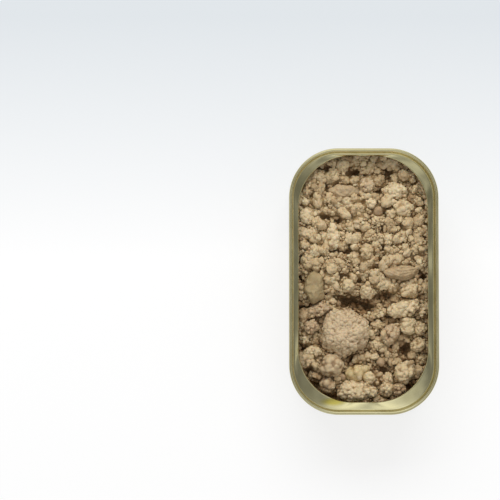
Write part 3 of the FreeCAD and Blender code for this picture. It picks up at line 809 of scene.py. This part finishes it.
ball_shapes = cluster_shapes(3, 16, (0.55, 0.7), range(51, 55))
large_shapes = cluster_shapes(5, 95, (0.16, 0.28), range(1, 7))
clump_shapes = cluster_shapes(4, 44, (0.22, 0.38), range(11, 19))
crumb_shapes = cluster_shapes(3, 14, (0.38, 0.55), range(21, 29))
bit_shapes = cluster_shapes(2, 6, (0.5, 0.7), range(31, 39))
grain_shapes = cluster_shapes(1, 4, (0.6, 0.8), range(41, 47))
print("cluster shapes:", sum(len(kind) for kind in (ball_shapes, large_shapes, clump_shapes,
                                                    crumb_shapes, bit_shapes, grain_shapes)))

# %% The ground that they fall on
# ground is the surface, limit how high a piece may reach, bare what stays without pieces.
lump_surfaces = bmesh.new()
for lump_piece in lumps:
    lump_surfaces.from_mesh(lump_piece.data)
lump_tree = BVHTree.FromBMesh(lump_surfaces)
lump_surfaces.free()
lump_map = height_map(lump_tree, 0.0)
ground = np.maximum(core_map, lump_map)
limit = np.maximum(filled + 0.5 * MM, np.where(lump_map > 0, lump_map + 0.4 * MM, 0))
smooth_names = [name for name, kind in lump_kinds.items() if kind[1] == 0 or kind[3] > 2]
bare = widened(height_map(tree_of(*smooth_names), 0.0) > 0, 1)
on_lump = widened(lump_map > core_map + 0.4 * MM, -4)
print("ground:", ground.shape)

# %% Copies of a few shapes as one mesh
def laid_copies(name, shapes, copies):
    """One mesh of many turned and sized copies. copies are (place, turn, size, shape, tone)."""
    shelf = bpy.data.collections.new(name + "_shapes")
    for index, shape in enumerate(shapes):
        shelf.objects.link(bpy.data.objects.new(f"{name}_shape_{index:02d}", shape))
    cloud = bpy.data.meshes.new(name + "_places")
    cloud.vertices.add(len(copies))
    cloud.vertices.foreach_set("co", np.array([c[0] for c in copies], np.float32).ravel())
    kinds = {"turn": "FLOAT_VECTOR", "size": "FLOAT_VECTOR", "shape": "INT", "tone": "FLOAT"}
    for column, (label, kind) in enumerate(kinds.items(), 1):
        values = np.array([c[column] for c in copies], np.int32 if kind == "INT" else np.float32)
        key = "vector" if kind == "FLOAT_VECTOR" else "value"
        cloud.attributes.new(label, kind, "POINT").data.foreach_set(key, values.ravel())
    tree = bpy.data.node_groups.new(name + "_nodes", "GeometryNodeTree")
    tree.interface.new_socket("Geometry", in_out="INPUT", socket_type="NodeSocketGeometry")
    tree.interface.new_socket("Geometry", in_out="OUTPUT", socket_type="NodeSocketGeometry")
    read = {label: add(tree, "GeometryNodeInputNamedAttribute",
                       {"data_type": kinds[label], "Name": label}).outputs["Attribute"]
            for label in ("turn", "size", "shape")}
    picked = add(tree, "GeometryNodeCollectionInfo",
                 {"Collection": shelf, "Separate Children": True, "Reset Children": True})
    lay = add(tree, "GeometryNodeInstanceOnPoints", {"Pick Instance": True},
              {"Points": add(tree, "NodeGroupInput").outputs[0], "Instance": picked.outputs[0],
               "Instance Index": read["shape"], "Rotation": read["turn"], "Scale": read["size"]})
    real = add(tree, "GeometryNodeRealizeInstances", {}, {"Geometry": lay.outputs[0]})
    add(tree, "NodeGroupOutput", {}, {0: real.outputs[0]})
    holder = bpy.data.objects.new(name + "_places", cloud)
    bpy.context.scene.collection.objects.link(holder)
    holder.modifiers.new("copies", "NODES").node_group = tree
    graph = bpy.context.evaluated_depsgraph_get()
    mesh = bpy.data.meshes.new_from_object(holder.evaluated_get(graph))
    for item in (holder, *shelf.objects):
        bpy.data.objects.remove(item)
    bpy.data.collections.remove(shelf)
    return mesh


print("copies are laid with geometry nodes")

# %% Let one piece settle
REST_SHARE = 0.8              # of the ground under a piece that it stays above


def settle(x, y, radius, flat, sink):
    """Where a ball comes to rest: its height, the part of the ground under it and that part raised."""
    i, j = int((x - bed_low.x) / STEP), int((y - bed_low.y) / STEP)
    reach = int(radius / STEP) + 1
    here = (slice(max(i - reach, 0), i + reach + 1), slice(max(j - reach, 0), j + reach + 1))
    away = (grid_x[here[0], None] - x) ** 2 + (grid_y[None, here[1]] - y) ** 2
    under = np.sqrt(np.maximum(radius ** 2 - away, 0)) * flat
    resting = np.sort((ground[here] + under)[under > 0])
    height = float(resting[int(REST_SHARE * (len(resting) - 1))]) - sink * radius
    return height, here, np.where(under > 0, np.maximum(ground[here], height + under), ground[here])


def clusters_piece(name, shapes, copies, flesh):
    heap = bmesh.new()
    heap.from_mesh(laid_copies(name, shapes, copies))
    press_to_wall(heap)
    return piece(name, heap, [flesh], ["crumb_bed"])


print("a piece rests on the highest", round(1 - REST_SHARE, 2), "of what is under it")

# %% Single round crumbs that stand out
# Place and radius in mm, and tone. The first lies alone in a dent of its own.
ROUND_CRUMBS = [(6.3, 28.2, 2.1, 0.50), (-1.3, -38.3, 1.25, 0.85), (-4.4, -33.2, 1.15, 0.80),
                (7.5, -32.2, 1.75, 0.62), (24.3, -6.2, 1.2, 0.90), (-8.0, -38.0, 1.5, 0.55),
                (-9.5, -8.6, 1.3, 0.55), (3.5, 9.5, 1.3, 0.62)]
ball_copies = []
for index, (x, y, radius, tone) in enumerate(ROUND_CRUMBS):
    height, here, raised = settle(x * MM, y * MM, radius * MM, 0.9, 0.75)
    ground[here] = raised
    size = (radius * MM, radius * MM, radius * 0.9 * MM)
    ball_copies.append(((x * MM, y * MM, height), (0, 0, index), size, index % len(ball_shapes), tone))
    bare |= np.hypot(grid_x[:, None] - x * MM, grid_y[None, :] - y * MM) < (radius + 0.5) * MM
clusters_piece("round_crumbs", ball_shapes, ball_copies, smooth_flesh)

# %% Drop the crumbs
HOLLOW = 0.9 * MM             # so far below its surroundings, a place gets no large piece
LARGE = 1.5                   # kinds whose least radius in mm is over this are large
TRIES = 14                    # for each piece that is wanted


def drop_crumbs(name, shapes, count, radii, sink, seed, tone, spread):
    """Drops count crumbs, with radii in mm, and joins them in one piece."""
    dice = random.Random(seed)
    room = np.clip((1.0 if radii[0] > LARGE else 1.7) + (filled - level) / HOLLOW, 0, 1)
    copies = []
    tries = 0
    while len(copies) < count and tries < count * TRIES:
        tries += 1
        radius = dice.uniform(*radii) * MM
        x = dice.uniform(-1, 1) * (torn_across + 0.8 * MM)
        y = dice.uniform(-1, 1) * (torn_along + 0.8 * MM) + TORN_SHIFT
        inside = inside_plan(x, y, torn_across, torn_along, torn_radius, TORN_SHIFT)
        if inside < radius * 0.3 - 1.0 * MM:
            continue
        i, j = int((x - bed_low.x) / STEP), int((y - bed_low.y) / STEP)
        if bare[i, j] or on_lump[i, j] or dice.random() > room[i, j]:
            continue
        flat = dice.uniform(0.65, 0.95)
        height, here, raised = settle(x, y, radius, flat, sink)
        if height + radius * flat > limit[i, j] + 0.25 * radius:
            continue
        if inside < radius + 0.3 * MM and height + radius > ledge_height - 1.4 * MM:
            continue
        ground[here] = raised
        turn = (dice.uniform(-0.4, 0.4), dice.uniform(-0.4, 0.4), dice.uniform(0, math.tau))
        size = (radius * dice.uniform(0.75, 1.3), radius * dice.uniform(0.75, 1.1), radius * flat)
        shape = dice.randrange(len(shapes))
        copies.append(((x, y, height), turn, size, shape, dice.gauss(tone, spread)))
    print(name, len(copies), "of", tries, "tries")
    clusters_piece(name, shapes, copies, crumb_flesh)


drop_crumbs("loose_large_clusters", large_shapes, 38, (2.6, 3.9), 0.85, 1, 0.55, 0.08)
drop_crumbs("loose_clusters", clump_shapes, 155, (1.6, 2.8), 0.85, 2, 0.55, 0.10)
drop_crumbs("loose_crumbs", crumb_shapes, 620, (0.9, 1.6), 0.75, 3, 0.52, 0.13)
drop_crumbs("loose_bits", bit_shapes, 1300, (0.55, 0.95), 0.55, 4, 0.52, 0.11)
drop_crumbs("loose_grains", grain_shapes, 900, (0.3, 0.55), 0.3, 5, 0.55, 0.10)

# %% [markdown]
# ## Floor, light and camera
# The can lies on a plain white floor. The light is that of a white tent: one large soft lamp from
# beyond the far end of the can, so that each crumb shades the one before it, and a dim fill from all
# round. Metal shows what surrounds it, so the world is brighter low down than overhead.

# %% Floor
FLOOR_REACH = 3.0
floor_sheet = bmesh.new()
bmesh.ops.create_grid(floor_sheet, x_segments=8, y_segments=8, size=FLOOR_REACH)
floor_mesh = bpy.data.meshes.new("floor")
floor_sheet.to_mesh(floor_mesh)
floor_sheet.free()
floor = bpy.data.objects.new("floor", floor_mesh)
bpy.context.scene.collection.objects.link(floor)
print("floor:", floor.name)

# %% White paper
# To the camera the paper is white, a little bluer towards the far end, and most of its look doesn't
# depend on the light, so that the shadow on it is pale. To everything else it is plain paper.
GLOW_SHARE = 0.70
GLOW = 1.06
paper, paper_tree, paper_shader = new_material("white_paper_floor")
paper_place = add(paper_tree, "ShaderNodeTexCoord")
paper_y = add(paper_tree, "ShaderNodeSeparateXYZ", {}, {"Vector": paper_place.outputs["Object"]})
paper_far = add(paper_tree, "ShaderNodeMapRange", {"From Min": 10 * MM, "From Max": 110 * MM},
                {"Value": paper_y.outputs["Y"]})
paper_colour = ramp(add(paper_tree, "ShaderNodeValToRGB", {}, {"Fac": paper_far.outputs["Result"]}),
                    [(0.0, "FEFEFE"), (1.0, "DEE3E7")])
paper_ray = add(paper_tree, "ShaderNodeLightPath")
paper_mix = add(paper_tree, "ShaderNodeMix", {"data_type": "RGBA", 6: srgb("F2F2F2")},
                {0: paper_ray.outputs["Is Camera Ray"], 7: paper_colour.outputs["Color"]})
paper_tree.links.new(paper_mix.outputs[2], paper_shader.inputs["Base Color"])
paper_shader.inputs["Roughness"].default_value = 0.9
paper_shader.inputs["Specular IOR Level"].default_value = 0.1
paper_glow = add(paper_tree, "ShaderNodeEmission", {"Strength": GLOW},
                 {"Color": paper_colour.outputs["Color"]})
paper_share = add(paper_tree, "ShaderNodeMath", {"operation": "MULTIPLY", 1: GLOW_SHARE},
                  {0: paper_ray.outputs["Is Camera Ray"]})
paper_both = add(paper_tree, "ShaderNodeMixShader", {},
                 {0: paper_share.outputs[0], 1: paper_shader.outputs[0], 2: paper_glow.outputs[0]})
paper_tree.links.new(paper_both.outputs[0], paper_tree.nodes["Material Output"].inputs["Surface"])
floor_mesh.materials.append(paper)
print("paper:", paper.name)

# %% What the metal shows of the tent
scene = bpy.context.scene
tent = bpy.data.worlds.new("white_tent")
scene.world = tent
tent.use_nodes = True
tent_tree = tent.node_tree
tent_way = add(tent_tree, "ShaderNodeTexCoord")
tent_axes = add(tent_tree, "ShaderNodeSeparateXYZ", {}, {"Vector": tent_way.outputs["Generated"]})
tent_ramp = ramp(add(tent_tree, "ShaderNodeValToRGB", {}, {"Fac": tent_axes.outputs["Z"]}),
                 [(0.0, 0.95), (0.5, 0.80), (0.8, 0.52), (0.95, 0.55), (1.0, 0.95)])
# Two dark cards above the long sides keep the ledge there darker than at the ends.
tent_side = add(tent_tree, "ShaderNodeMath", {"operation": "ABSOLUTE"}, {0: tent_axes.outputs["X"]})
tent_high = add(tent_tree, "ShaderNodeMath", {"operation": "MULTIPLY"},
                {0: tent_side.outputs[0], 1: tent_axes.outputs["Z"]})
tent_cards = add(tent_tree, "ShaderNodeMapRange", {"From Min": 0.0, "From Max": 0.36,
                                                   "To Min": 1.0, "To Max": 0.36},
                 {"Value": tent_high.outputs[0]})
tent_seen = add(tent_tree, "ShaderNodeVectorMath", {"operation": "SCALE"},
                {0: tent_ramp.outputs["Color"], 3: tent_cards.outputs["Result"]})
# The soft box that the metal shows is broad and dim, so the ledge doesn't burn out.
tent_box = add(tent_tree, "ShaderNodeVectorMath", {"operation": "DOT_PRODUCT", 1: (-0.07, 0.62, 0.78)},
               {0: tent_way.outputs["Generated"]})
tent_glow = add(tent_tree, "ShaderNodeMapRange", {"From Min": 0.90, "From Max": 1.0,
                                                  "To Min": 0.0, "To Max": 0.8},
                {"Value": tent_box.outputs["Value"]})
# Two dim windows at the near end put a pale sheen on the ledge's far corners.
tent_fold = add(tent_tree, "ShaderNodeCombineXYZ", {},
                {"X": tent_side.outputs[0], "Y": tent_axes.outputs["Y"]})
tent_off = add(tent_tree, "ShaderNodeVectorMath", {"operation": "DISTANCE", 1: (0.26, -0.30, 0.0)},
               {0: tent_fold.outputs[0]})
tent_window = add(tent_tree, "ShaderNodeMapRange", {"From Min": 0.15, "From Max": 0.05,
                                                    "To Min": 0.0, "To Max": 0.55},
                  {"Value": tent_off.outputs["Value"]})
tent_lit = add(tent_tree, "ShaderNodeMath", {"operation": "ADD"},
               {0: tent_glow.outputs["Result"], 1: tent_window.outputs["Result"]})
tent_metal = add(tent_tree, "ShaderNodeVectorMath", {"operation": "ADD"},
                 {0: tent_seen.outputs[0], 1: tent_lit.outputs[0]})
print("the metal's surroundings have", len(tent_tree.nodes), "nodes")

# %% The tent for dull surfaces and for the camera
# The cards and the dim ceiling show in the metal only. Dull surfaces get an even fill, and the camera
# sees a pale wall beyond the floor.
FILL = 0.53
tent_ray = add(tent_tree, "ShaderNodeLightPath")
tent_mix = add(tent_tree, "ShaderNodeMix", {"data_type": "RGBA", 6: (FILL, FILL, FILL, 1)},
               {0: tent_ray.outputs["Is Glossy Ray"], 7: tent_metal.outputs[0]})
tent_wall = add(tent_tree, "ShaderNodeMix", {"data_type": "RGBA", 7: srgb("F4F6F7")},
                {0: tent_ray.outputs["Is Camera Ray"], 6: tent_mix.outputs[2]})
tent_back = tent_tree.nodes["Background"]
tent_tree.links.new(tent_wall.outputs[2], tent_back.inputs["Color"])
tent_back.inputs["Strength"].default_value = 1.0
print("tent:", tent.name)

# %% The lamp
# It stays out of the metal, which shows the softer glow of the tent instead.
KEY_POWER = 7.8
KEY_PLACE = Vector((-0.08, 0.80, 0.72))
KEY_AIM = Vector((0, 0, 0.02))
lamp = bpy.data.lights.new("tent_key", "AREA")
lamp.shape = "RECTANGLE"
lamp.size, lamp.size_y = 1.1, 0.5
lamp.energy = KEY_POWER
key = bpy.data.objects.new("tent_key", lamp)
scene.collection.objects.link(key)
key.location = KEY_PLACE
key.rotation_euler = (KEY_AIM - KEY_PLACE).to_track_quat("-Z", "Y").to_euler()
key.visible_glossy = False
print("lamp:", key.name)

# %% Camera
LENS = 109.8                  # on a sensor 36 mm wide
CAMERA_HEIGHT = 600 * MM      # above the seam
camera = bpy.data.objects.new("camera", bpy.data.cameras.new("camera"))
scene.collection.objects.link(camera)
camera.data.lens = LENS
camera.location = (-44.9 * MM, -8.7 * MM, rim_top + CAMERA_HEIGHT)
camera.rotation_euler = (math.radians(2), 0, 0)
scene.camera = camera
scene.view_settings.view_transform = "Standard"
print("camera:", [round(c, 3) for c in camera.location])

# %% The end
bpy.context.view_layer.update()
